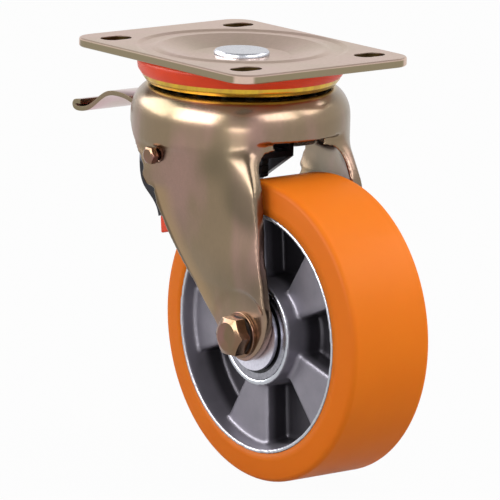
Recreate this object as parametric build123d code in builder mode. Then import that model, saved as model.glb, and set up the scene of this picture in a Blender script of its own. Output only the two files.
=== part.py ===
import os
from math import cos, pi, radians, sin, sqrt

from build123d import *

# Swivel castor with a pressed fork, a wheel on two ball bearings and a foot brake.
# Millimetres. The origin is the middle of the mounting face and +Z is up.
# The pieces are drawn with the wheel trailing to +X and its axle along Y. Each one is then given a
# quarter turn, so that in the finished part the wheel trails to +Y and the plate's slots run along X.

# ---- mounting plate ----
plate_length = 140.0
plate_width = 110.0
plate_thickness = 4.5
plate_corner_radius = 12.0
plate_edge_round = 1.0
slot_spacing_x = 105.0
slot_spacing_y = 78.0
slot_width = 11.0
slot_length = 17.0

# ---- forms pressed into the plate round the swivel axis ----
channel_outer_radius = 53.0
channel_floor_outer = 50.5
channel_floor_inner = 45.5
channel_depth = 0.8
crest_radius = 42.5
crest_width = 1.6
crest_drop = 0.15
dish_floor_radius = 24.5
dish_depth = 4.1

# ---- kingpin ----
kingpin_radius = 10.0
kingpin_head_radius = 14.0
kingpin_head_height = 2.5
kingpin_head_bevel = 0.9
kingpin_nut_across = 30.0
kingpin_nut_height = 9.0
kingpin_end_length = 1.0
kingpin_fit = 0.05
sleeve_wall = 3.0

# ---- swivel head ----
head_gap = 1.2
upper_pitch_radius = 42.6
upper_ball_radius = 3.25
upper_ball_count = 22
upper_race_outer = 49.4
upper_race_inner = 38.4
upper_race_lip_foot = 47.4
upper_race_lip_wall = 1.1
upper_race_height = 9.3
upper_race_lip_height = 12.0
seal_outer = 52.6
seal_taper = 0.8
seal_height = 8.6
seal_lip = 2.4
lower_pitch_radius = 23.0
lower_ball_radius = 3.0
lower_ball_count = 16
lower_race_radius = 30.0
lower_race_height = 3.4
lock_disc_height = 3.0
lock_tooth_count = 24
lock_tooth_depth = 3.0
ball_seat_gap = 0.05
ball_run_gap = 0.3
race_gap = 2.6
bore_gap = 2.0

# ---- fork ----
sheet = 6.0
drum_radius = 55.0
neck_radius = 43.5
shoulder_drop = 15.0
skirt_drop = 21.2
wheel_trail = 47.9
axle_height = 134.0
leg_pad_top = 21.0
leg_span_x = (-16.0, 72.0)
leg_bow = 0.3
leg_bend_z = -44.0
leg_upper_z = -57.0
leg_upper_arc = ((62.0, -29.6), (26.0, -44.4), (-16.0, -56.6))
leg_middle_z = -82.0
leg_middle_arc = ((68.0, -33.4), (28.0, -40.2), (-12.0, -46.0))
leg_front_x = 46.5
leg_middle_x = 18.0
leg_rear_x = -38.0
leg_front_edge = ((47.2, -43.0), (52.6, -56.0), (57.5, -75.0), (61.6, -99.0), (65.2, -118.0))
leg_end_front = (65.6, -127.0)
leg_end_corner = (60.6, -139.6)
leg_end_low = (50.0, -147.4)
leg_end_heel = (41.5, -146.6)
leg_end_rear = (34.8, -142.3)
leg_rear_edge = ((24.0, -129.2), (9.0, -108.2), (3.4, -98.1), (0.0, -88.0), (-1.0, -77.0))
ear_inner = (0.5, -67.4)
ear_low = (-3.5, -66.3)
ear_corner = (-7.3, -64.8)
ear_back = (-8.6, -61.0)
ear_top = (-9.6, -54.4)
skirt_edge = ((-14.0, -50.2), (-20.5, -46.0), (-28.0, -41.0))
rear_opening_width = 72.0
rear_opening_top = 26.0

# ---- wheel ----
wheel_radius = 75.0
tread_shoulder_radius = 72.6
tread_half_width = 21.0
tread_bulge = 0.95
tyre_side_outer = 24.2
tyre_side_inner = 25.8
core_radius = 60.4
core_half_width = 26.3
rim_lip = 1.9
rim_inner_floor_radius = 55.5
spoke_count = 5
spoke_angle = 34.0
spoke_phase = 40.0
spoke_top = 18.8
web_half_thickness = 6.0
hub_radius = 26.3
hub_floor_radius = 28.0
spoke_edge_round = 1.6
spoke_rim_gap = 0.4

# ---- wheel bearings and axle ----
bearing_outer_radius = 23.5
bearing_bore_radius = 10.0
bearing_width = 14.0
bearing_recess = 0.6
bearing_ring_wall = 3.2
bearing_inner_wall = 3.8
bearing_ball_radius = 3.9
bearing_ball_count = 9
bearing_shield_thickness = 0.5
bearing_shield_inset = 0.6
bearing_fit = 0.05
hub_bore_radius = 20.5
thrust_washer_radius = 18.6
thrust_washer_thickness = 2.0
axle_radius = 6.0
axle_fit = 0.1
axle_washer_radius = 11.5
axle_washer_thickness = 1.8
spring_washer_radius = 9.6
spring_washer_thickness = 1.0
axle_head_across = 18.0
axle_head_height = 7.0
axle_nut_height = 11.5
axle_end_length = 2.0

# ---- brake pin ----
brake_pin_x = 0.4
brake_pin_drop = 49.5
brake_pin_radius = 2.5
brake_pin_end = 1.0
brake_pin_head_across = 8.0
brake_pin_head_height = 3.6
brake_pin_nut_height = 4.7
brake_sleeve_radius = 4.8
brake_sleeve_half_length = 45.2
brake_fit = 0.1

# ---- brake lever, shoe and pedal, with (x, z) points of their side outlines ----
cheek_inner = 18.0
cheek_thickness = 3.0
horn_front = 17.0
horn_width = 5.0
horn_gap = 2.95
lever_low_front = (17.0, -54.8)
lever_low_rear = (-38.3, -90.6)
lever_notch = ((12.0, -41.5), (7.0, -43.0), (-18.0, -43.0))
lever_top_front = (-24.0, -39.6)
lever_top_rear = (-46.0, -38.6)
lever_back = ((-51.5, -44.0), (-54.6, -56.0))
lever_tail = ((-54.8, -66.0), (-51.5, -76.2), (-45.5, -81.0))
lower_web_front_x = -16.0
front_web_x = (7.0, 17.0)
front_web_z = -53.3
shoe_gap = 8.0
shoe_half_width = 20.0
shoe_tip = (-37.4, -99.4)
shoe_low_angle = 152.3
shoe_high_angle = 143.0
pedal_half_width = 30.0
pedal_root_half_width = 19.5
pedal_neck_half_width = 21.0
pedal_thickness = 2.4
pedal_top_line = (
    (-24.0, -37.15),
    (-45.0, -36.2),
    (-53.0, -29.6),
    (-70.5, -29.6),
    (-85.5, -42.2),
    (-98.0, -42.2),
    (-98.0, -39.0),
    (-95.2, -37.6),
)
pedal_bends = (6, 7, 8, 6, 1.3, 1.3)
pedal_neck_x = -40.0
pedal_wide_x = -52.0

# ---- adjusting screw and rivets ----
adjuster_x = 9.8
adjuster_radius = 4.0
adjuster_across = 15.0
adjuster_head_height = 5.2
adjuster_nut_height = 3.3
adjuster_flange_radius = 8.5
adjuster_flange_height = 1.6
adjuster_bottom = -63.6
rivet_radius = 2.6
rivet_head_radius = 4.6
rivet_head_height = 2.0
rivet_x = -35.0
rivet_spacing = 20.0
rivet_head_bottom = -36.4
rivet_tail_top = -42.4

# ---- heights worked out from the sizes above ----
dish_under = -dish_depth - plate_thickness
race_top = -plate_thickness - channel_depth
race_bottom = race_top - upper_race_height
lip_bottom = race_top - upper_race_lip_height
crown_top = lip_bottom - head_gap
upper_ball_z = race_bottom - race_gap / 2 + (crown_top - race_bottom + race_gap) / 2
crown_under = crown_top - sheet
lower_ball_z = crown_under - 0.9
lower_race_top = crown_under - race_gap
lower_race_bottom = lower_race_top - lower_race_height
lock_disc_bottom = lower_race_bottom - lock_disc_height
nut_bottom = lock_disc_bottom - kingpin_nut_height
shoulder_bottom = crown_top - shoulder_drop
skirt_bottom = crown_top - skirt_drop
axle_z = -axle_height
pad_top_z = axle_z + leg_pad_top
leg_inner = core_half_width + thrust_washer_thickness
leg_outer = leg_inner + sheet
drum_inner = drum_radius - sheet
bearing_face = core_half_width - bearing_recess
pin_z = -brake_pin_drop

os.makedirs("parts", exist_ok=True)


def save(part, label):
    """Write one piece, turned from the drawing's axes to the part's own."""
    turned = Rot(0, 0, 90) * part
    turned.label = label
    export_step(turned, "parts/" + label + ".step")


def wheel_point(radius, degrees):
    """Point of the XZ plane at this radius and angle from the wheel's centre."""
    return (wheel_trail + radius * cos(radians(degrees)), axle_z + radius * sin(radians(degrees)))


# ---- top plate: flat sheet with slots, a ring channel and a dish for the kingpin head ----
press_profile = [
    (channel_outer_radius, 0),
    (channel_floor_outer, -channel_depth),
    (channel_floor_inner, -channel_depth),
    (crest_radius, -crest_drop),
    (crest_radius - crest_width, -crest_drop),
    (dish_floor_radius, -dish_depth),
    (kingpin_radius + kingpin_fit, -dish_depth),
]
with BuildPart() as top_plate:
    with BuildSketch():
        RectangleRounded(plate_length, plate_width, plate_corner_radius)
        with GridLocations(slot_spacing_x, slot_spacing_y, 2, 2):
            SlotOverall(slot_length, slot_width, rotation=90, mode=Mode.SUBTRACT)
        Circle(channel_outer_radius, mode=Mode.SUBTRACT)
    extrude(amount=-plate_thickness)
    outline_edges = top_plate.faces().filter_by(Axis.Z).edges().filter_by(
        lambda edge: max(abs(edge.center().X) / plate_length, abs(edge.center().Y) / plate_width) > 0.45
    )
    fillet(outline_edges, plate_edge_round)
    with BuildSketch(Plane.XZ):
        with BuildLine():
            Polyline(*press_profile)
            Line(press_profile[-1], (press_profile[-1][0], dish_under))
            Polyline(*[(r, z - plate_thickness) for r, z in press_profile])
            Line(press_profile[0], (press_profile[0][0], -plate_thickness))
        make_face()
    revolve(axis=Axis.Z)
save(top_plate.part, "top_plate")

# ---- kingpin: flat round head in the dish, shank down through the swivel head ----
head_top = -dish_depth + kingpin_head_height
kingpin_end = nut_bottom - kingpin_end_length
with BuildPart() as kingpin:
    with BuildSketch(Plane.XY.offset(kingpin_end)):
        Circle(kingpin_radius)
    extrude(amount=-dish_depth - kingpin_end)
    chamfer(kingpin.faces().sort_by(Axis.Z)[0].edges(), kingpin_end_length)
    with BuildSketch(Plane.XY.offset(-dish_depth)):
        Circle(kingpin_head_radius)
    extrude(amount=kingpin_head_height)
    chamfer(kingpin.faces().sort_by(Axis.Z)[-1].edges(), kingpin_head_bevel)
save(kingpin.part, "kingpin")

# ---- upper race: ring under the plate with a ball groove and a lip over the balls ----
with BuildPart() as upper_race:
    with BuildSketch(Plane.XZ):
        with BuildLine():
            Polyline(
                (upper_race_inner, race_top),
                (upper_race_outer, race_top),
                (upper_race_outer, race_bottom),
                (upper_race_lip_foot, lip_bottom),
                (upper_race_lip_foot - upper_race_lip_wall, lip_bottom),
                (upper_race_lip_foot - upper_race_lip_wall, race_bottom),
                (upper_race_inner, race_bottom),
                close=True,
            )
        make_face()
        with Locations((upper_pitch_radius, upper_ball_z)):
            Circle(upper_ball_radius + ball_seat_gap, mode=Mode.SUBTRACT)
    revolve(axis=Axis.Z)
save(upper_race.part, "upper_race")

# ---- dust seal: soft ring round the upper race, with a thin lip ----
seal_inner = upper_race_outer + kingpin_fit
seal_bottom = -plate_thickness - seal_height
with BuildPart() as dust_seal:
    with BuildSketch(Plane.XZ):
        with BuildLine():
            Polyline(
                (seal_inner, race_top),
                (channel_floor_outer, race_top),
                (seal_outer, -plate_thickness - channel_depth / 4),
                (seal_outer - seal_taper, seal_bottom + seal_lip),
                (seal_outer - seal_lip, seal_bottom),
                (seal_inner, seal_bottom),
                close=True,
            )
        make_face()
    revolve(axis=Axis.Z)
save(dust_seal.part, "dust_seal")


def ball_ring(radius, pitch, count, height):
    """Separate balls spaced evenly round the swivel axis."""
    with BuildPart() as ring:
        with Locations((0, 0, height)):
            with PolarLocations(pitch, count):
                Sphere(radius)
    return ring.part


save(ball_ring(upper_ball_radius, upper_pitch_radius, upper_ball_count, upper_ball_z), "upper_balls")
save(ball_ring(lower_ball_radius, lower_pitch_radius, lower_ball_count, lower_ball_z), "lower_balls")

# ---- spacer sleeve: sets the distance from the plate to the lower race ----
sleeve_radius = kingpin_radius + sleeve_wall
with BuildPart() as spacer_sleeve:
    with BuildSketch(Plane.XY.offset(lower_race_top)):
        Circle(sleeve_radius)
        Circle(kingpin_radius + kingpin_fit, mode=Mode.SUBTRACT)
    extrude(amount=dish_under - lower_race_top)
save(spacer_sleeve.part, "spacer_sleeve")

# ---- lower race: disc under the crown that carries the lower balls ----
with BuildPart() as lower_race:
    with BuildSketch(Plane.XZ):
        with BuildLine():
            Polyline(
                (kingpin_radius + kingpin_fit, lower_race_top),
                (lower_race_radius, lower_race_top),
                (lower_race_radius, lower_race_bottom),
                (kingpin_radius + kingpin_fit, lower_race_bottom),
                close=True,
            )
        make_face()
        with Locations((lower_pitch_radius, lower_ball_z)):
            Circle(lower_ball_radius + ball_seat_gap, mode=Mode.SUBTRACT)
    revolve(axis=Axis.Z)
save(lower_race.part, "lower_race")

# ---- lock disc: notched rim that the brake lever's horns press against ----
with BuildPart() as lock_disc:
    with BuildSketch(Plane.XY.offset(lock_disc_bottom)):
        Circle(lower_race_radius)
        Circle(kingpin_radius + kingpin_fit, mode=Mode.SUBTRACT)
        with PolarLocations(lower_race_radius, lock_tooth_count):
            Rectangle(2 * lock_tooth_depth, lock_tooth_depth, mode=Mode.SUBTRACT)
    extrude(amount=lock_disc_height)
save(lock_disc.part, "lock_disc")

# ---- kingpin nut ----
with BuildPart() as kingpin_nut:
    with BuildSketch(Plane.XY.offset(nut_bottom)):
        RegularPolygon(kingpin_nut_across / 2, 6, major_radius=False)
        Circle(kingpin_radius + kingpin_fit, mode=Mode.SUBTRACT)
    extrude(amount=kingpin_nut_height)
    with BuildSketch(Plane.XZ):
        with BuildLine():
            Polyline(
                (kingpin_radius, nut_bottom),
                (kingpin_nut_across / 2, nut_bottom),
                (kingpin_nut_across / 2 + sheet, nut_bottom + sheet / 2),
                (kingpin_nut_across / 2 + sheet, nut_bottom + kingpin_nut_height),
                (kingpin_radius, nut_bottom + kingpin_nut_height),
                close=True,
            )
        make_face()
    revolve(axis=Axis.Z, mode=Mode.INTERSECT)
save(kingpin_nut.part, "kingpin_nut")


# ---- fork: one pressed piece, a round crown with two legs that taper to the axle ----
crown_bore = sleeve_radius + bore_gap
neck_inner = neck_radius - 4.0


def on_drum(x):
    """Point of the near half of the drum's outer circle at this x."""
    return (x, -sqrt(drum_radius**2 - x**2))


def leg_band(height, front, middle, rear):
    """Horizontal section of a leg: an arc through three points, one sheet thick."""
    round_middle = ThreePointArc(front, middle, rear).arc_center
    inner = []
    for point in (front, middle, rear):
        inward = Vector(round_middle.X - point[0], round_middle.Y - point[1]).normalized()
        inner.append(Vector(*point) + inward * sheet)
    with BuildSketch(Plane.XY.offset(height)) as band:
        with BuildLine():
            ThreePointArc(front, middle, rear)
            Line(rear, inner[2])
            ThreePointArc(inner[2], inner[1], inner[0])
            Line(inner[0], front)
        make_face()
    return band.sketch


leg_top_section = leg_band(leg_bend_z, on_drum(leg_front_x + sheet), on_drum(leg_middle_x), on_drum(leg_rear_x))
leg_upper_section = leg_band(leg_upper_z, *leg_upper_arc)
leg_middle_section = leg_band(leg_middle_z, *leg_middle_arc)
leg_low_section = leg_band(
    pad_top_z,
    (leg_span_x[1], leg_bow - leg_outer),
    ((leg_span_x[0] + leg_span_x[1]) / 2, -leg_outer),
    (leg_span_x[0], leg_bow - leg_outer),
)

leg_corner_front = (leg_front_x, shoulder_bottom)
leg_corner_rear = (leg_rear_x, shoulder_bottom)

with BuildPart() as leg:
    add(extrude(leg_top_section, amount=shoulder_bottom - leg_bend_z))
    add(loft([leg_top_section, leg_upper_section, leg_middle_section, leg_low_section]))
    with BuildSketch(Plane.XZ.offset(leg_inner)):
        with Locations((leg_span_x[0], pad_top_z)):
            Rectangle(leg_span_x[1] - leg_span_x[0], axle_height, align=(Align.MIN, Align.MAX))
    extrude(amount=sheet)
    with BuildSketch(Plane.XZ):
        with BuildLine():
            Spline(leg_corner_front, *leg_front_edge, leg_end_front, tangents=((0, -1), (0, -1)))
            ThreePointArc(leg_end_front, leg_end_corner, leg_end_low)
            ThreePointArc(leg_end_low, leg_end_heel, leg_end_rear)
            Spline(leg_end_rear, *leg_rear_edge, ear_inner, tangents=((-1, 1.1), (0.3, 1)))
            Line(ear_inner, ear_low)
            ThreePointArc(ear_low, ear_corner, ear_back)
            Spline(ear_back, ear_top, *skirt_edge, leg_corner_rear)
            Line(leg_corner_rear, leg_corner_front)
        make_face()
    extrude(amount=2 * drum_radius, mode=Mode.INTERSECT)

with BuildPart() as fork:
    with BuildSketch(Plane.XZ):
        with BuildLine():
            Line((crown_bore, crown_top), (neck_radius, crown_top))
            EllipticalCenterArc(
                (neck_radius, shoulder_bottom), drum_radius - neck_radius, shoulder_drop, start_angle=0, arc_size=90
            )
            Polyline(
                (drum_radius, shoulder_bottom),
                (drum_radius, skirt_bottom),
                (drum_inner, skirt_bottom),
                (drum_inner, shoulder_bottom),
            )
            EllipticalCenterArc(
                (neck_inner, shoulder_bottom), drum_inner - neck_inner, shoulder_drop - sheet, start_angle=0, arc_size=90
            )
            Polyline((neck_inner, crown_under), (crown_bore, crown_under), (crown_bore, crown_top))
        make_face()
        with Locations((upper_pitch_radius, upper_ball_z)):
            Circle(upper_ball_radius + ball_run_gap, mode=Mode.SUBTRACT)
        with Locations((lower_pitch_radius, lower_ball_z)):
            Circle(lower_ball_radius + ball_run_gap, mode=Mode.SUBTRACT)
    revolve(axis=Axis.Z)
    with BuildSketch(Plane.XY.offset(-rear_opening_top)):
        with Locations((-drum_radius, 0)):
            Rectangle(drum_radius, rear_opening_width)
    extrude(amount=skirt_bottom + rear_opening_top - sheet, mode=Mode.SUBTRACT)
    add(leg.part)
    add(mirror(leg.part, about=Plane.XZ))
    with Locations((wheel_trail, 0, axle_z)):
        Cylinder(axle_radius + axle_fit, 3 * drum_radius, rotation=(90, 0, 0), mode=Mode.SUBTRACT)
    with Locations((brake_pin_x, 0, pin_z)):
        Cylinder(brake_pin_radius + axle_fit, 3 * drum_radius, rotation=(90, 0, 0), mode=Mode.SUBTRACT)
save(fork.part, "fork")


axle_line = Axis((wheel_trail, 0, 0), (0, 1, 0))


def both_ends(half_profile, label):
    """Two turned rings, one at each end of the hub, from (radius, distance from the middle) points."""
    with BuildPart() as rings:
        with BuildSketch(Plane.XY):
            with BuildLine():
                Polyline(*[(wheel_trail + r, y) for r, y in half_profile], close=True)
            make_face()
        revolve(axis=axle_line)
        mirror(about=Plane.XZ)
    save(Pos(0, 0, axle_z) * rings.part, label)


# ---- tyre: thick band of tread material round the core ----
bond_x = wheel_trail + core_radius + bearing_fit
shoulder_x = wheel_trail + tread_shoulder_radius
tread_x = wheel_trail + wheel_radius
bulge_x = tread_x - (tread_x - shoulder_x) / 3
tyre_bulge_y = tyre_side_outer - tread_bulge
with BuildPart() as tyre:
    with BuildSketch(Plane.XY):
        with BuildLine():
            Line((bond_x, -tyre_side_inner), (shoulder_x, -tyre_side_outer))
            ThreePointArc((shoulder_x, -tyre_side_outer), (bulge_x, -tyre_bulge_y), (tread_x, -tread_half_width))
            Line((tread_x, -tread_half_width), (tread_x, tread_half_width))
            ThreePointArc((tread_x, tread_half_width), (bulge_x, tyre_bulge_y), (shoulder_x, tyre_side_outer))
            Line((shoulder_x, tyre_side_outer), (bond_x, tyre_side_inner))
            Line((bond_x, tyre_side_inner), (bond_x, -tyre_side_inner))
        make_face()
    revolve(axis=axle_line)
save(Pos(0, 0, axle_z) * tyre.part, "tyre")

# ---- wheel core: cast hub, web and rim with raised spokes on each side ----
bearing_seat = bearing_face - bearing_width
seat_radius = bearing_outer_radius + bearing_fit
core_half = (
    (hub_bore_radius, 0),
    (hub_bore_radius, bearing_seat),
    (seat_radius, bearing_seat),
    (seat_radius, core_half_width),
    (hub_radius, core_half_width),
    (hub_floor_radius, web_half_thickness),
    (rim_inner_floor_radius, web_half_thickness),
    (core_radius - rim_lip, core_half_width),
    (core_radius, core_half_width),
    (core_radius, 0),
)
spoke_inner = hub_radius - spoke_rim_gap
spoke_outer = core_radius - rim_lip - spoke_rim_gap
half_spoke = radians(spoke_angle / 2)
spoke_corners = []
for reach, turn in ((spoke_inner, -1), (spoke_outer, -1), (spoke_outer, 1), (spoke_inner, 1)):
    spoke_corners.append((reach * cos(half_spoke), turn * reach * sin(half_spoke)))
with BuildPart() as spoke:
    with BuildSketch(Plane.XZ):
        with BuildLine():
            Line(spoke_corners[0], spoke_corners[1])
            ThreePointArc(spoke_corners[1], (spoke_outer, 0), spoke_corners[2])
            Line(spoke_corners[2], spoke_corners[3])
            ThreePointArc(spoke_corners[3], (spoke_inner, 0), spoke_corners[0])
        make_face()
    extrude(amount=spoke_top)
    fillet(spoke.faces().sort_by(Axis.Y)[0].edges().filter_by(GeomType.LINE), spoke_edge_round)

with BuildPart() as wheel_core:
    with BuildSketch(Plane.XY):
        with BuildLine():
            Polyline(*core_half, close=True)
        make_face()
    revolve(axis=Axis.Y)
    for number in range(spoke_count):
        add(spoke.part.rotate(Axis.Y, -spoke_phase - 360 * number / spoke_count))
    mirror(about=Plane.XZ)
save(Pos(wheel_trail, 0, axle_z) * wheel_core.part, "wheel_core")

# ---- wheel bearings: rings, balls and shields of two sealed bearings ----
ring_inner = bearing_outer_radius - bearing_ring_wall
ring_outer = bearing_bore_radius + bearing_inner_wall
bearing_pitch = (ring_inner + ring_outer) / 2
bearing_middle = bearing_face - bearing_width / 2


def bearing_ring(inner, outer, groove, label):
    """The same turned ring with a ball groove at both ends of the hub."""
    with BuildPart() as rings:
        with BuildSketch(Plane.XY):
            with Locations((wheel_trail + (inner + outer) / 2, bearing_middle)):
                Rectangle(outer - inner, bearing_width)
            with Locations((wheel_trail + bearing_pitch, bearing_middle)):
                Circle(groove, mode=Mode.SUBTRACT)
        revolve(axis=axle_line)
        mirror(about=Plane.XZ)
    save(Pos(0, 0, axle_z) * rings.part, label)


outer_groove = bearing_ball_radius + bearing_fit
inner_groove = bearing_ball_radius + ball_run_gap
bearing_ring(ring_inner, bearing_outer_radius, outer_groove, "bearing_outer_rings")
bearing_ring(bearing_bore_radius + bearing_fit, ring_outer, inner_groove, "bearing_inner_rings")

with BuildPart() as bearing_balls:
    for side in (-1, 1):
        for number in range(bearing_ball_count):
            turn = 2 * pi * number / bearing_ball_count
            with Locations((bearing_pitch * cos(turn), side * bearing_middle, bearing_pitch * sin(turn))):
                Sphere(bearing_ball_radius)
save(Pos(wheel_trail, 0, axle_z) * bearing_balls.part, "bearing_balls")

shield_front = bearing_face - bearing_shield_inset
shield_back = shield_front - bearing_shield_thickness
both_ends(
    (
        (ring_outer + ball_run_gap, shield_back),
        (ring_inner, shield_back),
        (ring_inner, shield_front),
        (ring_outer + ball_run_gap, shield_front),
    ),
    "bearing_shields",
)

# ---- axle tube and thrust washers: carry the inner rings and fill the fork ----
tube_radius = bearing_bore_radius - bearing_fit
washer_bore = bearing_bore_radius + bearing_fit
washer_back = leg_inner - thrust_washer_thickness + axle_fit
both_ends(
    (
        (washer_bore, bearing_face),
        (ring_outer, bearing_face),
        (ring_outer, washer_back),
        (thrust_washer_radius, washer_back),
        (thrust_washer_radius, leg_inner),
        (washer_bore, leg_inner),
    ),
    "thrust_washers",
)
with BuildPart() as axle_tube:
    with Locations((wheel_trail, 0, axle_z)):
        Cylinder(tube_radius, 2 * leg_inner, rotation=(90, 0, 0))
        Cylinder(axle_radius + axle_fit, 2 * leg_inner, rotation=(90, 0, 0), mode=Mode.SUBTRACT)
save(axle_tube.part, "axle_tube")

# ---- axle bolt, washers and nut ----
axle_bore = axle_radius + axle_fit
washer_face = leg_outer + axle_washer_thickness
both_ends(
    (
        (axle_bore, leg_outer),
        (axle_washer_radius, leg_outer),
        (axle_washer_radius, washer_face),
        (axle_bore, washer_face),
    ),
    "axle_washers",
)


def hexagon_head(across, height, bore, place):
    """Hexagon head or nut that stands along -Y from its seat at place, bevelled on its far face."""
    corner = across / sqrt(3)
    bevel = across / 11
    with BuildPart() as head:
        with BuildSketch(Plane.XZ):
            RegularPolygon(across / 2, 6, major_radius=False)
            if bore:
                Circle(bore, mode=Mode.SUBTRACT)
        extrude(amount=height)
        with BuildSketch(Plane.XY):
            with BuildLine():
                Polyline(
                    (0, 0), (corner, 0), (corner, bevel - height), (corner - 2 * bevel, -height), (0, -height), close=True
                )
            make_face()
        revolve(axis=Axis.Y, mode=Mode.INTERSECT)
    return Pos(*place) * head.part


with BuildPart() as spring_washer:
    with BuildSketch(Plane.XZ.offset(washer_face)):
        with Locations((wheel_trail, axle_z)):
            Circle(spring_washer_radius)
            Circle(axle_bore, mode=Mode.SUBTRACT)
    extrude(amount=spring_washer_thickness)
save(spring_washer.part, "spring_washer")

head_seat = washer_face + spring_washer_thickness
with BuildPart() as axle_bolt:
    add(hexagon_head(axle_head_across, axle_head_height, 0, (wheel_trail, -head_seat, axle_z)))
    with BuildSketch(Plane.XZ.offset(head_seat)):
        with Locations((wheel_trail, axle_z)):
            Circle(axle_radius)
    extrude(amount=-head_seat - washer_face - axle_nut_height - axle_end_length)
save(axle_bolt.part, "axle_bolt")

near_nut = hexagon_head(axle_head_across, axle_nut_height, axle_bore, (wheel_trail, -washer_face, axle_z))
save(mirror(near_nut, about=Plane.XZ), "axle_nut")

# ---- brake pin: long bolt across the fork, its nut and the sleeve that the lever turns on ----
pin_bore = brake_pin_radius + brake_fit
with BuildPart() as brake_pin:
    add(hexagon_head(brake_pin_head_across, brake_pin_head_height, 0, (brake_pin_x, -drum_radius, pin_z)))
    with BuildSketch(Plane.XZ.offset(drum_radius)):
        with Locations((brake_pin_x, pin_z)):
            Circle(brake_pin_radius)
    extrude(amount=-2 * drum_radius - brake_pin_nut_height - brake_pin_end)
save(brake_pin.part, "brake_pin")

near_pin_nut = hexagon_head(
    brake_pin_head_across, brake_pin_nut_height, pin_bore, (brake_pin_x, -drum_radius, pin_z)
)
save(mirror(near_pin_nut, about=Plane.XZ), "brake_pin_nut")

with BuildPart() as brake_sleeve:
    with Locations((brake_pin_x, 0, pin_z)):
        Cylinder(brake_sleeve_radius, 2 * brake_sleeve_half_length, rotation=(90, 0, 0))
        Cylinder(pin_bore, 2 * brake_sleeve_half_length, rotation=(90, 0, 0), mode=Mode.SUBTRACT)
save(brake_sleeve.part, "brake_sleeve")

# ---- brake lever: bent sheet channel with two cheeks, locking horns and three cross webs ----
cheek_outer = cheek_inner + cheek_thickness
horn_top = lock_disc_bottom - horn_gap
lower_slope = (lever_low_front[1] - lever_low_rear[1]) / (lever_low_front[0] - lever_low_rear[0])


def lower_line(x, rise=0.0):
    """Point over the straight lower edge of the cheeks at this x."""
    return (x, lever_low_rear[1] + lower_slope * (x - lever_low_rear[0]) + rise)


lever_top = (lever_top_front, lever_top_rear, *lever_back)
web_rise = cheek_thickness * sqrt(1 + lower_slope**2)
with BuildPart() as brake_lever:
    with BuildSketch(Plane.XZ.offset(-cheek_outer)):
        with BuildLine():
            Polyline(
                lever_low_rear,
                lever_low_front,
                (horn_front, horn_top),
                (horn_front - horn_width, horn_top),
                *lever_notch,
                *lever_top,
            )
            Spline(lever_back[-1], *lever_tail, lever_low_rear)
        make_face()
        with Locations((brake_pin_x, pin_z)):
            Circle(brake_sleeve_radius + brake_fit, mode=Mode.SUBTRACT)
    extrude(amount=2 * cheek_outer)
    with BuildSketch(Plane.XZ.offset(-cheek_inner)):
        with Locations((0, pin_z)):
            Rectangle(2 * axle_height, 2 * axle_height)
    extrude(amount=2 * cheek_inner, mode=Mode.SUBTRACT)
    with BuildSketch(Plane.XZ.offset(-cheek_inner)):
        with BuildLine():
            Polyline(
                *lever_top,
                (lever_back[1][0] + cheek_thickness, lever_back[1][1]),
                (lever_back[0][0] + cheek_thickness, lever_back[0][1] - 1),
                (lever_top_rear[0] + 1, lever_top_rear[1] - cheek_thickness),
                (lever_top_front[0], lever_top_front[1] - cheek_thickness),
                close=True,
            )
        make_face()
        with BuildLine():
            Polyline(
                lever_low_rear,
                lower_line(lower_web_front_x),
                lower_line(lower_web_front_x, web_rise),
                (lever_low_rear[0] - 1.4, lever_low_rear[1] + cheek_thickness),
                close=True,
            )
        make_face()
        with Locations((front_web_x[0], front_web_z)):
            Rectangle(front_web_x[1] - front_web_x[0], cheek_thickness, align=(Align.MIN, Align.CENTER))
    extrude(amount=2 * cheek_inner)
    with Locations((adjuster_x, 0, front_web_z)):
        Cylinder(adjuster_radius + brake_fit, 2 * cheek_thickness, mode=Mode.SUBTRACT)
    with Locations((rivet_x, 0, lever_top_rear[1])):
        with GridLocations(0, rivet_spacing, 1, 2):
            Cylinder(rivet_radius + brake_fit, 4 * cheek_thickness, mode=Mode.SUBTRACT)
save(brake_lever.part, "brake_lever")

# ---- brake shoe: moulded block with a face curved like the tread ----
shoe_radius = wheel_radius + shoe_gap
shoe_low = wheel_point(shoe_radius, shoe_low_angle)
shoe_middle = wheel_point(shoe_radius, (shoe_low_angle + shoe_high_angle) / 2)
shoe_high = wheel_point(shoe_radius, shoe_high_angle)
with BuildPart() as brake_shoe:
    with BuildSketch(Plane.XZ.offset(-shoe_half_width)):
        with BuildLine():
            Line(lever_low_rear, shoe_tip)
            Line(shoe_tip, shoe_low)
            ThreePointArc(shoe_low, shoe_middle, shoe_high)
            Line(shoe_high, lower_line(shoe_high[0]))
            Line(lower_line(shoe_high[0]), lever_low_rear)
        make_face()
    extrude(amount=2 * shoe_half_width)
save(brake_shoe.part, "brake_shoe")

# ---- brake pedal: wide wavy sheet with a curled tip, riveted on the lever ----
pedal_side = (
    (pedal_top_line[0][0], pedal_root_half_width),
    (pedal_neck_x, pedal_neck_half_width),
    (pedal_wide_x, pedal_half_width),
    (-2 * drum_radius, pedal_half_width),
)
with BuildPart() as brake_pedal:
    with BuildSketch(Plane.XZ.offset(-drum_radius)):
        with BuildLine():
            FilletPolyline(*pedal_top_line, radius=pedal_bends)
            offset(amount=pedal_thickness, side=Side.LEFT)
        make_face()
    extrude(amount=2 * drum_radius)
    with BuildSketch(Plane.XY.offset(pin_z)):
        with BuildLine():
            Polyline(*pedal_side, *[(x, -y) for x, y in reversed(pedal_side)], close=True)
        make_face()
    extrude(amount=-pin_z, mode=Mode.INTERSECT)
    with Locations((rivet_x, 0, lever_top_rear[1])):
        with GridLocations(0, rivet_spacing, 1, 2):
            Cylinder(rivet_radius + brake_fit, 4 * cheek_thickness, mode=Mode.SUBTRACT)
save(brake_pedal.part, "brake_pedal")

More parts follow.
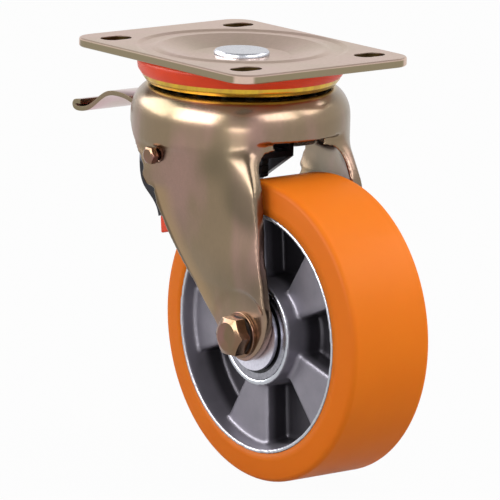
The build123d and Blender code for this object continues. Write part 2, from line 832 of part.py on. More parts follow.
# ---- pedal rivets: two, each with a head on both sides ----
with BuildPart() as pedal_rivets:
    for bottom, height, radius in (
        (rivet_tail_top - rivet_head_height, rivet_head_height, rivet_head_radius),
        (rivet_tail_top, rivet_head_bottom - rivet_tail_top, rivet_radius),
        (rivet_head_bottom, rivet_head_height, rivet_head_radius),
    ):
        with BuildSketch(Plane.XY.offset(bottom)):
            with Locations((rivet_x, 0)):
                with GridLocations(0, rivet_spacing, 1, 2):
                    Circle(radius)
        extrude(amount=height)
save(pedal_rivets.part, "pedal_rivets")

# ---- adjusting screw and nut: set the shoe's reach from the front web ----
with BuildPart() as adjusting_screw:
    with Locations((adjuster_x, 0, adjuster_bottom)):
        Cylinder(adjuster_flange_radius, adjuster_flange_height, align=(Align.CENTER, Align.CENTER, Align.MIN))
        Cylinder(
            adjuster_radius, front_web_z + cheek_thickness - adjuster_bottom,
            align=(Align.CENTER, Align.CENTER, Align.MIN),
        )
    with BuildSketch(Plane.XY.offset(adjuster_bottom)):
        with Locations((adjuster_x, 0)):
            RegularPolygon(adjuster_across / 2, 6, major_radius=False)
    extrude(amount=adjuster_head_height)
save(adjusting_screw.part, "adjusting_screw")

with BuildPart() as adjusting_nut:
    with BuildSketch(Plane.XY.offset(front_web_z - cheek_thickness / 2)):
        with Locations((adjuster_x, 0)):
            RegularPolygon(adjuster_across / 2, 6, major_radius=False)
            Circle(adjuster_radius + brake_fit, mode=Mode.SUBTRACT)
    extrude(amount=-adjuster_nut_height)
save(adjusting_nut.part, "adjusting_nut")
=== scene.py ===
import math

import bmesh
import bpy
from mathutils import Matrix, Vector


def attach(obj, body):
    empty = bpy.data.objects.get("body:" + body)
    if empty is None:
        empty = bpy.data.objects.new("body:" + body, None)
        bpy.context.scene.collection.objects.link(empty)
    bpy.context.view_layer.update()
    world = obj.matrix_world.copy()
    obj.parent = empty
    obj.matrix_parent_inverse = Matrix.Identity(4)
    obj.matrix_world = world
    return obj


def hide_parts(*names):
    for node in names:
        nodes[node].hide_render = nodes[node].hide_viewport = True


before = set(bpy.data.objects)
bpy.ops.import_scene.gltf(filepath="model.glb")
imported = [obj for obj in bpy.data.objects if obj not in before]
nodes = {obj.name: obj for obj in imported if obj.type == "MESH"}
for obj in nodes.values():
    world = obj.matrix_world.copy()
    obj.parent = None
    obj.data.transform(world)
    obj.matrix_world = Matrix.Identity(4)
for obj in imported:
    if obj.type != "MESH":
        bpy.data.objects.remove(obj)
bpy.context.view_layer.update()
mm = 0.001
axleY = 0.0479
axleZ = -0.134
weldDistance = 0.000004


# A socket that takes part in sums, so that shader maths reads like maths
class Wire:
    def __init__(self, graph, socket):
        self.graph = graph
        self.socket = socket

    def __add__(self, other):
        return self.graph.maths("ADD", self, other)

    def __radd__(self, other):
        return self.graph.maths("ADD", other, self)

    def __sub__(self, other):
        return self.graph.maths("SUBTRACT", self, other)

    def __rsub__(self, other):
        return self.graph.maths("SUBTRACT", other, self)

    def __mul__(self, other):
        return self.graph.maths("MULTIPLY", self, other)

    def __rmul__(self, other):
        return self.graph.maths("MULTIPLY", other, self)

    def __truediv__(self, other):
        return self.graph.maths("DIVIDE", self, other)

    def __pow__(self, other):
        return self.graph.maths("POWER", self, other)

    def __neg__(self):
        return self.graph.maths("MULTIPLY", self, -1.0)


# The node tree of a material or of the world
class Graph:
    def __init__(self, owner):
        owner.use_nodes = True
        self.owner = owner
        self.tree = owner.node_tree
        self.tree.nodes.clear()

    def feed(self, value, socket):
        if isinstance(value, Wire):
            self.tree.links.new(value.socket, socket)
        elif isinstance(value, tuple) and len(value) == 3 and len(socket.default_value) == 4:
            socket.default_value = (*value, 1.0)
        else:
            socket.default_value = value

    def node(self, kind, settings=None, inputs=None, output=0):
        made = self.tree.nodes.new(kind)
        for key, value in (settings or {}).items():
            setattr(made, key, value)
        for key, value in (inputs or {}).items():
            self.feed(value, made.inputs[key])
        return Wire(self, made.outputs[output])

    def maths(self, operation, *values):
        return self.node("ShaderNodeMath", {"operation": operation}, dict(enumerate(values)))

    def clamp(self, value):
        return self.node("ShaderNodeClamp", None, {"Value": value})

    # Smooth rise from 0 at low to 1 at high
    def rise(self, value, low, high):
        return self.node(
            "ShaderNodeMapRange",
            {"interpolation_type": "SMOOTHSTEP"},
            {"Value": value, "From Min": low, "From Max": high},
        )

    # Smooth fall from 1 at low to 0 at high
    def fall(self, value, low, high):
        return self.rise(-value, -high, -low)

    # A noise scaled about its middle
    def swing(self, value, amount, middle=0.5):
        return (value - middle) * amount

    # Inputs 6 and 7 and output 2 are the colours
    def blend(self, factor, first, second):
        return self.node("ShaderNodeMix", {"data_type": "RGBA"}, {0: factor, 6: first, 7: second}, 2)

    def place(self):
        return self.node("ShaderNodeTexCoord", output="Object")

    def split(self, vector):
        made = self.tree.nodes.new("ShaderNodeSeparateXYZ")
        self.feed(vector, made.inputs[0])
        return [Wire(self, socket) for socket in made.outputs]

    def stretched(self, vector, factors):
        return self.node("ShaderNodeVectorMath", {"operation": "MULTIPLY"}, {0: vector, 1: factors})

    def noise(self, vector, scale, detail, roughness=0.6):
        inputs = {"Vector": vector, "Scale": scale, "Detail": detail, "Roughness": roughness}
        return self.node("ShaderNodeTexNoise", None, inputs)

    def bump(self, height, distance, strength):
        inputs = {"Height": height, "Distance": distance, "Strength": strength}
        return self.node("ShaderNodeBump", None, inputs)

    def close(self, shader, kind="ShaderNodeOutputMaterial"):
        self.feed(shader, self.tree.nodes.new(kind).inputs["Surface"])
        return self.owner

    def surface(self, inputs):
        return self.close(self.node("ShaderNodeBsdfPrincipled", None, inputs))


def newGraph(name):
    return Graph(bpy.data.materials.new(name))


def axleRadius(g, place):
    x, y, z = g.split(place)
    return g.maths("SQRT", (y - axleY) ** 2.0 + (z - axleZ) ** 2.0)


def swivelRadius(g, place):
    x, y, z = g.split(place)
    return g.maths("SQRT", x * x + y * y)


# Yellow zinc: gold with soft rosy and olive clouds and fine rolling grain
def zincMaterial(name, values, tint=None):
    g = newGraph(name)
    place = g.place()
    clouds = g.noise(g.stretched(place, values["stretch"]), values["cloudScale"], detail=2.0, roughness=0.5)
    drift = g.noise(place, values["driftScale"], detail=1.0, roughness=0.5)
    grain = g.noise(g.stretched(place, values["grainStretch"]), values["grainScale"], detail=3.0)
    olive = g.rise(drift, *values["oliveRange"]) * values["oliveShare"]
    colour = g.blend(g.rise(clouds, *values["roseRange"]), values["gold"], values["rose"])
    colour = g.blend(olive, colour, values["olive"])
    colour = g.blend(g.swing(grain, values["grainTint"]) + values["darkShare"], colour, values["dark"])
    if tint:
        colour = tint(g, place, colour)
    rough = values["rough"] + g.swing(grain, values["grainRough"]) + g.swing(clouds, values["cloudRough"])
    return g.surface(
        {
            "Base Color": colour,
            "Metallic": 1.0,
            "Roughness": g.clamp(rough),
            "Normal": g.bump(grain, values["grainDepth"], values["grainBump"]),
        }
    )


zincLook = {
    "gold": (0.265, 0.195, 0.125),
    "rose": (0.345, 0.218, 0.180),
    "roseRange": (0.42, 0.66),
    "olive": (0.120, 0.100, 0.062),
    "oliveRange": (0.48, 0.70),
    "oliveShare": 0.75,
    "dark": (0.11, 0.085, 0.055),
    "darkShare": 0.12,
    "stretch": (1.0, 1.0, 0.30),
    "cloudScale": 42.0,
    "cloudRough": 0.06,
    "driftScale": 22.0,
    "grainStretch": (1.0, 1.0, 0.35),
    "grainScale": 900.0,
    "grainTint": 0.30,
    "grainRough": 0.08,
    "grainDepth": 0.00003,
    "grainBump": 0.30,
    "rough": 0.25,
}
plateLook = dict(
    zincLook,
    gold=(0.78, 0.585, 0.475),
    rose=(0.82, 0.60, 0.52),
    olive=(0.71, 0.565, 0.43),
    dark=(0.30, 0.22, 0.16),
    grainStretch=(0.4, 1.0, 1.0),
    rough=0.36,
)
boltLook = dict(
    zincLook,
    gold=(0.225, 0.132, 0.084),
    rose=(0.262, 0.134, 0.112),
    olive=(0.185, 0.130, 0.072),
    cloudScale=160.0,
    driftScale=90.0,
    rough=0.20,
)
raceLook = dict(
    boltLook,
    gold=(0.72, 0.46, 0.05),
    rose=(0.62, 0.36, 0.06),
    olive=(0.46, 0.33, 0.04),
    rough=0.22,
)
pedalLook = dict(
    zincLook,
    gold=(0.58, 0.46, 0.42),
    rose=(0.62, 0.42, 0.44),
    olive=(0.44, 0.40, 0.34),
    dark=(0.30, 0.22, 0.20),
    cloudScale=50.0,
    rough=0.22,
)
pedalEdgeLook = dict(
    pedalLook,
    gold=(0.22, 0.18, 0.10),
    rose=(0.24, 0.17, 0.11),
    olive=(0.17, 0.16, 0.09),
)


# Painted reflection: the crown's neck is tinted a deeper gold, standing in for the gold race ring mirrored in
# it
neckReflection = {"colour": (0.50, 0.33, 0.06), "radius": (0.045, 0.049), "height": (-0.0285, -0.0245)}


def neckPaintedReflection(g, place, colour):
    height = g.split(place)[2]
    inside = g.fall(swivelRadius(g, place), *neckReflection["radius"]) * g.rise(height, *neckReflection["height"])
    return g.blend(inside, colour, neckReflection["colour"])


# Painted shade and highlight: a dark line of shade along the legs' rolled back edges, with a painted warm
# highlight beside it
legEdgeLight = {
    "line": (0.135, 0.092, 0.048),
    "lineWidth": (0.0020, 0.0038),
    "glow": (0.37, 0.25, 0.135),
    "glowWidth": (0.004, 0.016),
    "glowShare": 0.75,
    "side": (0.018, 0.022),
    "upperEnd": (-0.070, -0.062),
    "lowerEnd": (-0.130, -0.122),
    "curveTop": -0.080,
    "curveDrop": 0.048,
    "curveStart": -0.0066,
    "curveRun": 0.0268,
    "curvePower": 1.5,
}


def forkPaintedLight(g, place, colour):
    values = legEdgeLight
    x, y, z = g.split(place)
    depth = g.clamp((values["curveTop"] - z) / values["curveDrop"])
    edge = depth ** values["curvePower"] * values["curveRun"] + values["curveStart"]
    leg = g.rise(g.maths("ABSOLUTE", x), *values["side"])
    leg = leg * g.fall(z, *values["upperEnd"]) * g.rise(z, *values["lowerEnd"])
    # painted warm highlight beside the back edge, then painted shade as a dark line along it
    glow = leg * g.fall(y - edge, *values["glowWidth"]) * values["glowShare"]
    line = leg * g.fall(y - edge, *values["lineWidth"])
    colour = g.blend(glow, neckPaintedReflection(g, place, colour), values["glow"])
    return g.blend(line, colour, values["line"])


# Painted shade: the plate's cut sides are darkened to olive, and its slots to dark gold
plateShade = {
    "sideShadeColour": (0.30, 0.245, 0.155),
    "sideX": (0.0538, 0.0546),
    "sideY": (0.0688, 0.0696),
    "sideDepth": (-0.0012, -0.0006),
    "slotShadeColour": (0.11, 0.07, 0.025),
    "slotX": 0.039,
    "slotY": 0.0525,
    "slotHalf": 0.003,
    "slotReach": (0.0056, 0.0061),
    "slotDepth": (-0.0006, -0.0002),
}


def plateShadeTint(g, place, colour):
    values = plateShade
    x, y, z = g.split(place)
    fromX = g.maths("ABSOLUTE", x)
    fromY = g.maths("ABSOLUTE", y)
    side = g.maths("MAXIMUM", g.rise(fromX, *values["sideX"]), g.rise(fromY, *values["sideY"]))
    alongSlot = g.maths("MAXIMUM", g.maths("ABSOLUTE", fromX - values["slotX"]) - values["slotHalf"], 0.0)
    fromSlot = g.maths("SQRT", alongSlot ** 2.0 + (fromY - values["slotY"]) ** 2.0)
    slot = g.fall(fromSlot, *values["slotReach"])
    # painted shade on the cut sides below the top face and inside the slots
    colour = g.blend(side * g.fall(z, *values["sideDepth"]), colour, values["sideShadeColour"])
    return g.blend(slot * g.fall(z, *values["slotDepth"]), colour, values["slotShadeColour"])


forkZinc = zincMaterial("forkZinc", zincLook, forkPaintedLight)
plateZinc = zincMaterial("plateZinc", plateLook, plateShadeTint)
boltZinc = zincMaterial("boltZinc", boltLook)
pedalZinc = zincMaterial("pedalZinc", pedalLook)
raceZinc = zincMaterial("raceZinc", raceLook)
pedalEdgeZinc = zincMaterial("pedalEdgeZinc", pedalEdgeLook)


# Bare or clear-plated steel with turning marks round the axle or the swivel axis
def steelMaterial(name, values):
    g = newGraph(name)
    place = g.place()
    radius = values["turnedRound"](g, place)
    rings = g.maths("SINE", radius * values["ringRate"])
    speck = g.noise(place, values["speckScale"], detail=3.0)
    return g.surface(
        {
            "Base Color": g.blend(g.rise(speck, *values["speckRange"]), values["light"], values["dark"]),
            "Metallic": values["metallic"],
            "Roughness": g.clamp(values["rough"] + g.swing(speck, values["speckRough"])),
            "Normal": g.bump(rings * values["ringShare"] + speck, values["depth"], values["bump"]),
        }
    )


brightLook = {
    "light": (0.62, 0.63, 0.68),
    "dark": (0.50, 0.51, 0.56),
    "metallic": 1.0,
    "rough": 0.28,
    "turnedRound": swivelRadius,
    "ringRate": 9000.0,
    "ringShare": 0.5,
    "speckScale": 600.0,
    "speckRange": (0.35, 0.75),
    "speckRough": 0.12,
    "depth": 0.000004,
    "bump": 0.4,
}
axleLook = dict(
    brightLook,
    light=(0.34, 0.34, 0.38),
    dark=(0.24, 0.24, 0.27),
    rough=0.22,
    turnedRound=axleRadius,
)
lilacLook = dict(
    brightLook,
    light=(0.70, 0.69, 0.78),
    dark=(0.60, 0.59, 0.68),
    rough=0.32,
    turnedRound=axleRadius,
)
blackLook = dict(
    brightLook,
    light=(0.035, 0.035, 0.04),
    dark=(0.02, 0.02, 0.022),
    metallic=0.7,
    rough=0.34,
)
brightSteel = steelMaterial("brightSteel", brightLook)
axleSteel = steelMaterial("axleSteel", axleLook)
lilacZinc = steelMaterial("lilacZinc", lilacLook)
blackSteelAndShade = steelMaterial("blackSteelAndShade", blackLook)


# Brake lever: bluish bright zinc near the pin, the rest of the sheet painted black as painted shade
leverLook = {
    "black": (0.030, 0.028, 0.032),
    "bright": (0.42, 0.45, 0.55),
    "fadeY": (-0.006, 0.004),
    "fadeZ": (-0.066, -0.060),
    "metallic": 0.85,
    "brightMetallic": 0.30,
    "grainScale": 700.0,
    "grainTint": 0.5,
    "grainMiddle": 0.4,
    "grainRough": 0.16,
    "grainDepth": 0.00003,
    "grainBump": 0.35,
    "rough": 0.30,
}


def leverMaterial(values):
    g = newGraph("leverSteel")
    place = g.place()
    x, y, z = g.split(place)
    grain = g.noise(place, values["grainScale"], detail=3.0)
    # painted shade: away from this bright patch the sheet is painted black
    bright = g.fall(y, *values["fadeY"]) * g.rise(z, *values["fadeZ"])
    colour = g.blend(bright, values["black"], values["bright"])
    shade = g.swing(grain, values["grainTint"], values["grainMiddle"])
    metallic = values["metallic"] + bright * (values["brightMetallic"] - values["metallic"])
    return g.surface(
        {
            "Base Color": g.blend(g.clamp(shade), colour, values["black"]),
            "Metallic": g.clamp(metallic),
            "Roughness": g.clamp(values["rough"] + g.swing(grain, values["grainRough"])),
            "Normal": g.bump(grain, values["grainDepth"], values["grainBump"]),
        }
    )


leverSteel = leverMaterial(leverLook)


# Cast and painted wheel core: darkened in the pockets, partly its as-cast tone and partly painted shade;
# machined bright on the edges of rim and hub
coreLook = {
    "paint": (0.26, 0.245, 0.285),
    "deep": (0.045, 0.041, 0.050),
    "raised": (0.0120, 0.0175),
    "machined": (0.50, 0.52, 0.56),
    "machinedFrom": (0.0259, 0.0261),
    "machinedRough": 0.12,
    "castScale": 1400.0,
    "castDepth": 0.00012,
    "castBump": 0.35,
    "mottleScale": 60.0,
    "mottleTint": 0.6,
    "mottleRough": 0.1,
    "deepShare": 0.15,
    "metallic": 0.55,
    "rough": 0.40,
}


def coreMaterial(values):
    g = newGraph("coreGrey")
    place = g.place()
    side = g.maths("ABSOLUTE", g.split(place)[0])
    cast = g.noise(place, values["castScale"], detail=2.0)
    mottle = g.noise(place, values["mottleScale"], detail=3.0)
    machined = g.rise(side, *values["machinedFrom"])
    # painted shade, with the as-cast tone: the pockets below the raised pads are darkened
    colour = g.blend(g.rise(side, *values["raised"]), values["deep"], values["paint"])
    colour = g.blend(g.swing(mottle, values["mottleTint"]) + values["deepShare"], colour, values["deep"])
    rough = values["rough"] + g.swing(mottle, values["mottleRough"]) - machined * values["machinedRough"]
    return g.surface(
        {
            "Base Color": g.blend(machined, colour, values["machined"]),
            "Metallic": g.clamp(values["metallic"] + machined * (1.0 - values["metallic"])),
            "Roughness": g.clamp(rough),
            "Normal": g.bump(cast * (1.0 - machined), values["castDepth"], values["castBump"]),
        }
    )


coreGrey = coreMaterial(coreLook)


# Cast tread: clear orange with a deeper tone that varies at random, painted shade darkening its sides, fine
# moulding lines and a satin skin
treadLook = {
    "orange": (1.0, 0.235, 0.014),
    "deep": (0.86, 0.165, 0.010),
    "mottleScale": 35.0,
    "mottleTint": 0.5,
    "mottleMiddle": 0.35,
    "mottleRough": 0.1,
    "sideFrom": (0.0222, 0.0242),
    "sideShadeShare": 0.25,
    "speckScale": 1800.0,
    "speckRough": 0.04,
    "speckShare": 0.6,
    "lineRate": 5200.0,
    "lineDepth": 0.000012,
    "lineBump": 0.5,
    "rough": 0.48,
    "subsurface": 0.12,
    "subsurfaceRadius": (0.012, 0.004, 0.001),
    "specular": 0.08,
}


def treadMaterial(values):
    g = newGraph("orangeTread")
    place = g.place()
    mottle = g.noise(place, values["mottleScale"], detail=3.0, roughness=0.55)
    speck = g.noise(place, values["speckScale"], detail=2.0)
    side = g.rise(g.maths("ABSOLUTE", g.split(place)[0]), *values["sideFrom"])
    lines = g.maths("SINE", axleRadius(g, place) * values["lineRate"]) * side
    # painted shade: the sides of the tread are darkened
    deep = g.swing(mottle, values["mottleTint"], values["mottleMiddle"]) + side * values["sideShadeShare"]
    rough = values["rough"] + g.swing(mottle, values["mottleRough"]) + g.swing(speck, values["speckRough"])
    return g.surface(
        {
            "Base Color": g.blend(g.clamp(deep), values["orange"], values["deep"]),
            "Roughness": g.clamp(rough),
            "Subsurface Weight": values["subsurface"],
            "Subsurface Radius": values["subsurfaceRadius"],
            "Subsurface Scale": 1.0,
            "Specular IOR Level": values["specular"],
            "Normal": g.bump(lines + speck * values["speckShare"], values["lineDepth"], values["lineBump"]),
        }
    )


orangeTread = treadMaterial(treadLook)


# Moulded red parts: soft seal and brake block
def mouldedMaterial(name, values):
    g = newGraph(name)
    place = g.place()
    mottle = g.noise(place, values["mottleScale"], detail=3.0)
    grain = g.noise(place, values["grainScale"], detail=2.0)
    shade = g.swing(mottle, values["mottleTint"], values["mottleMiddle"])
    return g.surface(
        {
            "Base Color": g.blend(g.clamp(shade), values["colour"], values["shade"]),
            "Specular IOR Level": values["specular"],
            "Roughness": g.clamp(values["rough"] + g.swing(grain, values["grainRough"])),
            "Normal": g.bump(grain, values["grainDepth"], values["grainBump"]),
        }
    )


sealLook = {
    "colour": (0.95, 0.075, 0.020),
    "shade": (0.62, 0.040, 0.012),
    "mottleScale": 60.0,
    "mottleTint": 0.9,
    "mottleMiddle": 0.4,
    "grainScale": 1500.0,
    "grainRough": 0.2,
    "grainDepth": 0.00003,
    "grainBump": 0.4,
    "specular": 0.25,
    "rough": 0.38,
}
shoeLook = dict(sealLook, rough=0.55, grainDepth=0.00008)
redSeal = mouldedMaterial("redSeal", sealLook)
redShoe = mouldedMaterial("redShoe", shoeLook)
print("materials done")


# Each node's material and the radius of its rounded edges in metres
finishes = {
    "top_plate": (plateZinc, 0.0),
    "kingpin": (brightSteel, 0.0),
    "upper_race": (raceZinc, 0.0),
    "dust_seal": (redSeal, 0.0),
    # painted shade: the upper balls are black so the gap of the race reads dark
    "upper_balls": (blackSteelAndShade, 0.0),
    "lower_balls": (brightSteel, 0.0),
    "spacer_sleeve": (brightSteel, 0.0),
    "lower_race": (blackSteelAndShade, 0.0),
    "lock_disc": (blackSteelAndShade, 0.0003),
    "kingpin_nut": (blackSteelAndShade, 0.0003),
    "tyre": (orangeTread, 0.0),
    "bearing_outer_rings": (axleSteel, 0.0),
    "bearing_inner_rings": (axleSteel, 0.0),
    "bearing_balls": (axleSteel, 0.0),
    "bearing_shields": (blackSteelAndShade, 0.0),
    "thrust_washers": (lilacZinc, 0.0),
    "axle_tube": (axleSteel, 0.0),
    "axle_washers": (boltZinc, 0.0003),
    "spring_washer": (blackSteelAndShade, 0.0),
    "axle_bolt": (boltZinc, 0.0003),
    "axle_nut": (boltZinc, 0.0003),
    "brake_pin": (boltZinc, 0.0002),
    "brake_pin_nut": (boltZinc, 0.0002),
    "brake_sleeve": (brightSteel, 0.0),
    "brake_lever": (leverSteel, 0.0004),
    "brake_shoe": (redShoe, 0.0008),
    "pedal_rivets": (brightSteel, 0.0004),
    "adjusting_screw": (blackSteelAndShade, 0.0003),
    "adjusting_nut": (blackSteelAndShade, 0.0003),
}
edgeRounding = {"flatAngle": 0.6, "segments": 2, "sharpAngle": 32.0}


def finishNode(name, material, roundness):
    node = nodes[name]
    node.data.materials.clear()
    node.data.materials.append(material)
    weld = node.modifiers.new("weld", "WELD")
    weld.merge_threshold = weldDistance
    if roundness:
        flatten = node.modifiers.new("flatten", "DECIMATE")
        flatten.decimate_type = "DISSOLVE"
        flatten.angle_limit = math.radians(edgeRounding["flatAngle"])
        soften = node.modifiers.new("round", "BEVEL")
        soften.width = roundness
        soften.segments = edgeRounding["segments"]
        soften.limit_method = "ANGLE"
        soften.angle_limit = math.radians(edgeRounding["sharpAngle"])
        soften.miter_outer = "MITER_ARC"
        soften.use_clamp_overlap = True


for name, (material, roundness) in finishes.items():
    finishNode(name, material, roundness)
print("finishes done")


def addObject(name, data):
    made = bpy.data.objects.new(name, data)
    bpy.context.scene.collection.objects.link(made)
    return made


def applyModifiers(piece):
    shaped = piece.evaluated_get(bpy.context.evaluated_depsgraph_get())
    piece.data = bpy.data.meshes.new_from_object(shaped)
    piece.modifiers.clear()


# Smooth rise from 0 at the first end to 1 at the second
def ramp(value, ends):
    share = max(0.0, min(1.0, (value - ends[0]) / (ends[1] - ends[0])))
    return share * share * (3.0 - 2.0 * share)


# The pressed fork and the cast core with their creases and edges drawn soft
softPieces = {
    "forkPressing": {"node": "fork", "body": "fork", "slot": "yellow_zinc", "voxel": 0.0008, "passes": 14},
    "coreCasting": {"node": "wheel_core", "body": "wheel", "slot": "grey_core", "voxel": 0.0010, "passes": 3},
}


def softPiece(name, values, material):
    mesh = bpy.data.meshes.new(name)
    shape = bmesh.new()
    shape.from_mesh(nodes[values["node"]].data)
    bmesh.ops.remove_doubles(shape, verts=shape.verts, dist=weldDistance)
    shape.to_mesh(mesh)
    shape.free()
    piece = addObject(name, mesh)
    even = piece.modifiers.new("even", "REMESH")
    even.mode = "VOXEL"
    even.voxel_size = values["voxel"]
    even.use_smooth_shade = True
    soft = piece.modifiers.new("soft", "SMOOTH")
    soft.factor = 0.5
    soft.iterations = values["passes"]
    bpy.context.view_layer.update()
    applyModifiers(piece)
    piece.data.materials.clear()
    piece.data.materials.append(material)
    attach(piece, values["body"])
    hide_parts(values["node"])
    print(name, "faces", len(piece.data.polygons))
    return piece


# Near the legs' upper front corners the sheet flows from crown to leg in one soft bend
cornerBlend = {"y": (0.034, 0.062), "z": (-0.062, -0.036), "slope": 4.0, "side": 0.020, "passes": 45}


def softCorners(piece, values):
    def window(value, ends):
        across = (value - ends[0]) / (ends[1] - ends[0])
        return max(0.0, min(1.0, values["slope"] * min(across, 1.0 - across)))

    group = piece.vertex_groups.new(name="corners")
    for vertex in piece.data.vertices:
        x, y, z = vertex.co
        share = window(y, values["y"]) * window(z, values["z"])
        if abs(x) > values["side"] and share > 0.0:
            group.add([vertex.index], share, "REPLACE")
    bend = piece.modifiers.new("corners", "SMOOTH")
    bend.factor = 0.5
    bend.iterations = values["passes"]
    bend.vertex_group = "corners"
    applyModifiers(piece)
    piece.vertex_groups.clear()


# The legs' back edges run on straight from the small ears
legEdge = {
    "rows": (  # height, the new edge's y, and how far the old one is drawn back
        (-0.0580, -0.0088, 0.0),
        (-0.0660, -0.0080, 0.0058),
        (-0.0720, -0.0066, 0.0060),
        (-0.0800, -0.0066, 0.0058),
        (-0.0880, -0.0057, 0.0056),
        (-0.0960, -0.0026, 0.0046),
        (-0.1040, 0.0016, 0.0042),
        (-0.1120, 0.0069, 0.0036),
        (-0.1200, 0.0131, 0.0024),
        (-0.1280, 0.0202, 0.0010),
        (-0.1320, 0.0250, 0.0),
    ),
    "reach": 0.020,
    "side": 0.020,
}


def widenLegs(piece, values):
    rows = values["rows"]
    for vertex in piece.data.vertices:
        x, y, z = vertex.co
        if abs(x) < values["side"] or z > rows[0][0] or z <= rows[-1][0]:
            continue
        upper, lower = next(pair for pair in zip(rows, rows[1:]) if z > pair[1][0])
        part = (upper[0] - z) / (upper[0] - lower[0])
        edge = upper[1] + (lower[1] - upper[1]) * part
        back = upper[2] + (lower[2] - upper[2]) * part
        moved = y - back * ramp(y - back - edge, (values["reach"], 0.0))
        vertex.co.y = min(y, max(moved, edge))


# Above the axle the sheet steps out from the flat pad to the bowed leg
padStep = {
    "rise": 0.0014,
    "radius": (0.0200, 0.0236),
    "fade": (-0.098, -0.080),
    "side": 0.026,
    "lean": (0.15, 0.55),
}


def raisePadEdge(piece, values):
    for vertex in piece.data.vertices:
        x, y, z = vertex.co
        radius = math.hypot(y - axleY, z - axleZ)
        if abs(x) < values["side"] or z < axleZ or radius < values["radius"][0]:
            continue
        share = ramp(radius, values["radius"]) * ramp((z - axleZ) / radius, values["lean"])
        share *= 1.0 - ramp(z, values["fade"])
        vertex.co.x += math.copysign(values["rise"] * share, x)


fork = softPiece("forkPressing", softPieces["forkPressing"], forkZinc)
softCorners(fork, cornerBlend)
widenLegs(fork, legEdge)
raisePadEdge(fork, padStep)
softPiece("coreCasting", softPieces["coreCasting"], coreGrey)


# Pedal: one wavy sheet, narrow on the lever and wide at the foot, with its tip rolled over
pedalShape = {
    "rows": (  # y, z and half width in mm along the middle of the sheet
        (-24.0, -38.35, 19.5),
        (-39.0, -37.65, 21.0),
        (-46.5, -36.6, 25.5),
        (-50.5, -32.6, 30.0),
        (-55.0, -31.0, 30.0),
        (-67.0, -30.6, 30.0),
        (-74.0, -32.9, 30.0),
        (-80.5, -37.9, 30.0),
        (-86.5, -41.9, 30.0),
        (-93.0, -43.4, 30.0),
        (-98.2, -43.4, 30.0),
        (-99.5, -41.7, 30.0),
        (-98.2, -39.8, 30.0),
        (-93.6, -39.6, 30.0),
    ),
    "thickness": 0.0024,
    "edgeRound": 0.0006,
    "edgeSegments": 2,
    "edgeAngle": 50.0,
    "smoothing": 3,
}


def pedalPlate(values):
    shape = bmesh.new()
    y, z, half = values["rows"][0]
    corners = [shape.verts.new((side * half * mm, y * mm, z * mm)) for side in (-1, 1)]
    edge = shape.edges.new(corners)
    for y, z, half in values["rows"][1:]:
        made = bmesh.ops.extrude_edge_only(shape, edges=[edge])["geom"]
        corners = [part for part in made if isinstance(part, bmesh.types.BMVert)]
        edges = [part for part in made if isinstance(part, bmesh.types.BMEdge)]
        edge = next(part for part in edges if set(part.verts) == set(corners))
        for corner in corners:
            corner.co = (math.copysign(half * mm, corner.co.x), y * mm, z * mm)
    mesh = bpy.data.meshes.new("pedalPlate")
    shape.to_mesh(mesh)
    shape.free()
    piece = addObject("pedalPlate", mesh)
    wave = piece.modifiers.new("wave", "SUBSURF")
    wave.levels = values["smoothing"]
    wave.render_levels = values["smoothing"]
    wave.boundary_smooth = "PRESERVE_CORNERS"
    sheet = piece.modifiers.new("sheet", "SOLIDIFY")
    sheet.thickness = values["thickness"]
    sheet.offset = 0.0
    sheet.material_offset_rim = 1
    rim = piece.modifiers.new("rim", "BEVEL")
    rim.width = values["edgeRound"]
    rim.segments = values["edgeSegments"]
    rim.limit_method = "ANGLE"
    rim.angle_limit = math.radians(values["edgeAngle"])
    for face in mesh.polygons:
        face.use_smooth = True
    mesh.materials.append(pedalZinc)
    mesh.materials.append(pedalEdgeZinc)
    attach(piece, "brake")
    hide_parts("brake_pedal")


pedalPlate(pedalShape)
print("pedal done")


# Camera: long lens, slightly above the plate, a little roll
cameraLook = {
    "target": (0.0, 0.020, -0.100),
    "back": (0.61362, 0.76275, 0.20417),
    "right": (-0.78192, 0.62297, 0.02267),
    "distance": 2.7072332,
    "focal": 5420.7,
    "centre": (262.4044, 249.5917),
    "picture": 500.0,
    "sensor": 36.0,
    "farthest": 20.0,
}


def addCamera(values):
    back = Vector(values["back"]).normalized()
    right = Vector(values["right"])
    right = (right - back * right.dot(back)).normalized()
    pose = Matrix((right, back.cross(right), back)).transposed().to_4x4()
    pose.translation = Vector(values["target"]) + back * values["distance"]
    camera = addObject("camera", bpy.data.cameras.new("camera"))
    camera.matrix_world = pose
    side = values["picture"]
    camera.data.sensor_width = values["sensor"]
    camera.data.lens = values["focal"] / side * values["sensor"]
    camera.data.shift_x = (side / 2.0 - values["centre"][0]) / side
    camera.data.shift_y = (values["centre"][1] - side / 2.0) / side
    camera.data.clip_end = values["farthest"]
    bpy.context.scene.camera = camera


addCamera(cameraLook)


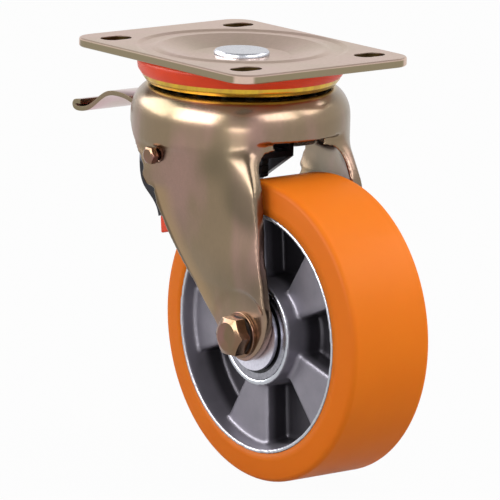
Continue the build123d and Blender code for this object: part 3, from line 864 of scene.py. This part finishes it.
# White studio: soft lamps, a plain world and a pale floor that reads white to the camera
studio = {
    "worldLevel": 0.70,
    "mirrorLow": 1.0,
    "mirrorHigh": 0.45,
    "mirrorFade": (0.22, 0.60),
    "floorColour": (0.36, 0.36, 0.36),
    "floorWhite": 0.97,
    "floorMirrored": 0.85,
    "floorHeight": -0.2095,
    "floorHalf": 6.0,
    "softboxes": (  # name, place, width, height and power
        ("leftBox", (0.72, -1.22, 0.66), 1.6, 0.95, 28.0),
        ("leftFrontBox", (1.42, 0.00, 0.66), 1.4, 0.95, 36.0),
        ("rightFrontBox", (-0.15, 1.30, 0.85), 1.0, 0.65, 11.0),
        ("rightBox", (-1.20, 0.65, 0.90), 1.2, 0.55, 10.0),
        ("frontBox", (1.10, 1.25, -0.12), 0.50, 0.15, 2.5),
    ),
    "lamps": (
        ("keyLamp", (-1.0, 1.0, 1.25), 1.0, 1.0, 14.0),
        ("sideLamp", (1.5, -0.2, 0.5), 1.0, 1.0, 5.0),
        ("backLamp", (-0.6, -1.2, 1.3), 1.2, 1.0, 5.0),
    ),
}


def softLamp(name, place, width, height, power):
    lamp = bpy.data.lights.new(name, "AREA")
    lamp.shape = "RECTANGLE"
    lamp.size = width
    lamp.size_y = height
    lamp.energy = power
    holder = addObject(name, lamp)
    holder.location = place
    holder.rotation_euler = (Vector(cameraLook["target"]) - Vector(place)).to_track_quat("-Z", "Y").to_euler()
    return holder


flatTop = bpy.data.collections.new("flatTop")  # the flat plate would only mirror the softboxes as glare
flatTop.objects.link(nodes["top_plate"])
for values in studio["softboxes"]:  # these show as reflections only
    box = softLamp(*values)
    box.visible_diffuse = False
    box.light_linking.receiver_collection = flatTop
flatTop.collection_objects[0].light_linking.link_state = "EXCLUDE"
for values in studio["lamps"]:  # these never show as reflections
    softLamp(*values).visible_glossy = False


# The world is plain for light, white to the camera, and dims upwards in reflections
def addWorld(values):
    world = bpy.data.worlds.new("studio")
    bpy.context.scene.world = world
    g = Graph(world)
    height = g.split(g.node("ShaderNodeTexCoord", output="Generated"))[2]
    dimming = g.rise(height, *values["mirrorFade"]) * (values["mirrorHigh"] - values["mirrorLow"])
    mirrored = g.node("ShaderNodeLightPath", output="Is Glossy Ray")
    seen = g.node("ShaderNodeLightPath", output="Is Camera Ray")
    level = values["worldLevel"] + mirrored * (dimming + (values["mirrorLow"] - values["worldLevel"]))
    level = level + seen * (1.0 - level)
    sky = g.node("ShaderNodeBackground", None, {"Color": (1.0, 1.0, 1.0), "Strength": level})
    g.close(sky, "ShaderNodeOutputWorld")


def addFloor(values):
    mesh = bpy.data.meshes.new("floor")
    shape = bmesh.new()
    bmesh.ops.create_grid(shape, x_segments=1, y_segments=1, size=values["floorHalf"])
    bmesh.ops.translate(shape, verts=shape.verts, vec=(0.0, 0.0, values["floorHeight"]))
    shape.to_mesh(mesh)
    shape.free()
    floor = addObject("floor", mesh)
    g = newGraph("floorWhite")
    pale = g.node("ShaderNodeBsdfDiffuse", None, {"Color": values["floorColour"]})
    glow = g.node("ShaderNodeEmission", None, {"Color": (1.0, 1.0, 1.0)})
    seen = g.node("ShaderNodeLightPath", output="Is Camera Ray")
    mirrored = g.node("ShaderNodeLightPath", output="Is Glossy Ray")
    white = g.clamp(seen * values["floorWhite"] + mirrored * values["floorMirrored"])
    mesh.materials.append(g.close(g.node("ShaderNodeMixShader", None, {0: white, 1: pale, 2: glow})))


addWorld(studio)
addFloor(studio)
bpy.context.scene.view_settings.view_transform = "Standard"
print("studio done")
